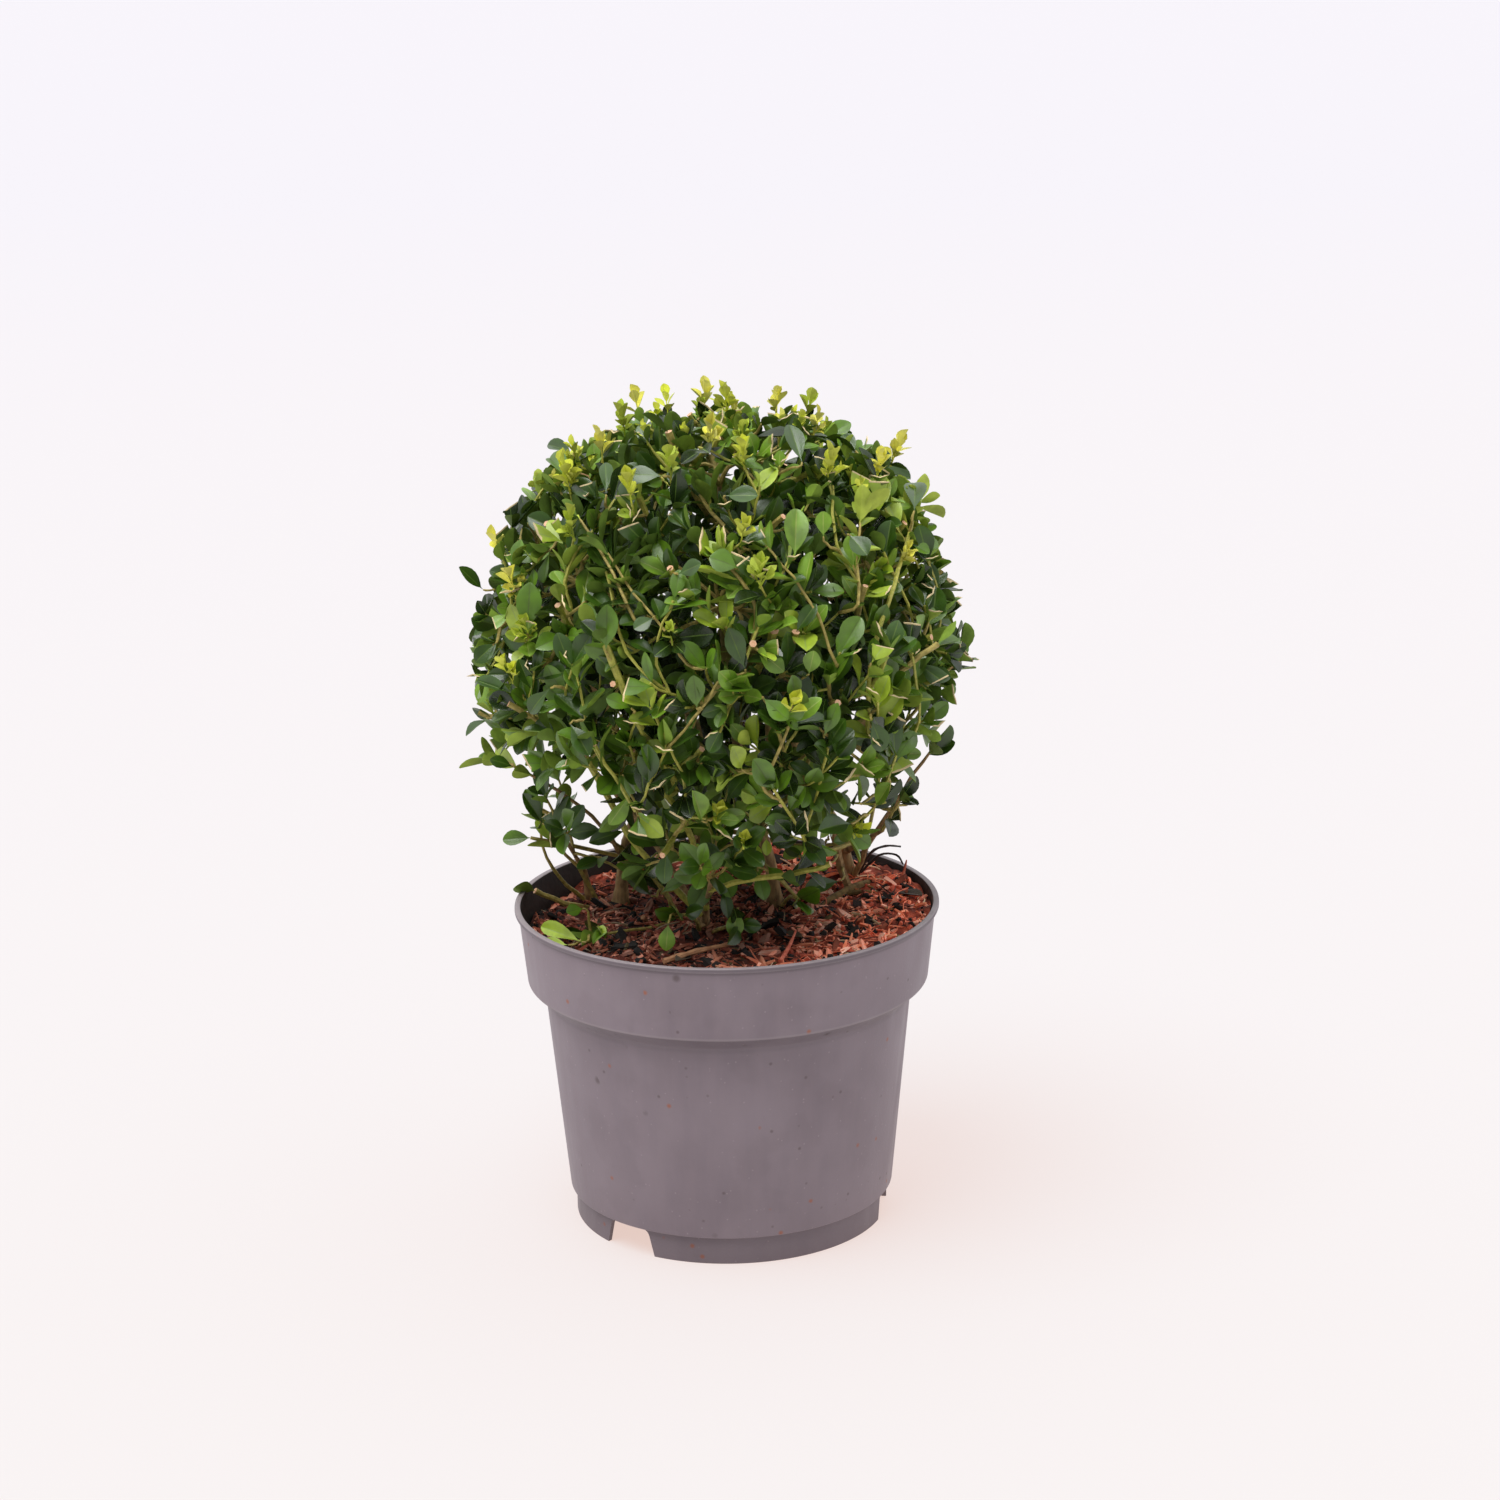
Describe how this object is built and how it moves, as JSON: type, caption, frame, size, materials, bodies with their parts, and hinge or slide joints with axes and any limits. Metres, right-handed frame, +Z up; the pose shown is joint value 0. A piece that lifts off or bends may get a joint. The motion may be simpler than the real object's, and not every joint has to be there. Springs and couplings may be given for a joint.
{
  "type": "potted japanese holly shrub, clipped to a ball",
  "caption": "Evergreen shrub with small oval leaves, clipped to a loose ball on slender stems, growing in a round tapered plastic nursery pot.",
  "frame": {"origin": "on the ground under the pot's axis, which is the middle of the whole plant's outline within about 2 mm", "axes": "+Z up along the pot's axis, -Y towards the viewer of the picture, +X to the viewer's right"},
  "size_m": [0.2263, 0.2204, 0.3754],
  "materials": {
    "pot_plastic": "matte",
    "soil": "matte",
    "bark": "matte",
    "foliage": "satin"
  },
  "bodies": {
    "root": {"pot": "pot_plastic", "soil": "soil", "stem_left": "bark", "stem_back": "bark", "stem_front": "bark", "stem_right": "bark", "stem_low_left": "bark", "stem_low_front": "bark", "bough_lower_left": "bark", "bough_lower_back": "bark", "bough_lower_front_left": "bark", "bough_lower_front_right": "bark", "bough_upper_front": "bark", "bough_lower_right": "bark", "bough_upper_back_right": "bark", "bough_low_right": "bark", "bough_low_back": "bark", "foliage_top": "foliage", "foliage_upper_front": "foliage", "foliage_upper_right": "foliage", "foliage_upper_back_right": "foliage", "foliage_upper_back_left": "foliage", "foliage_upper_left": "foliage", "foliage_lower_front_left": "foliage", "foliage_lower_front_right": "foliage", "foliage_lower_right": "foliage", "foliage_lower_back": "foliage", "foliage_lower_left": "foliage", "foliage_low_left": "foliage", "foliage_low_front": "foliage", "foliage_low_right": "foliage", "foliage_low_back": "foliage"}
  },
  "joints": []
}
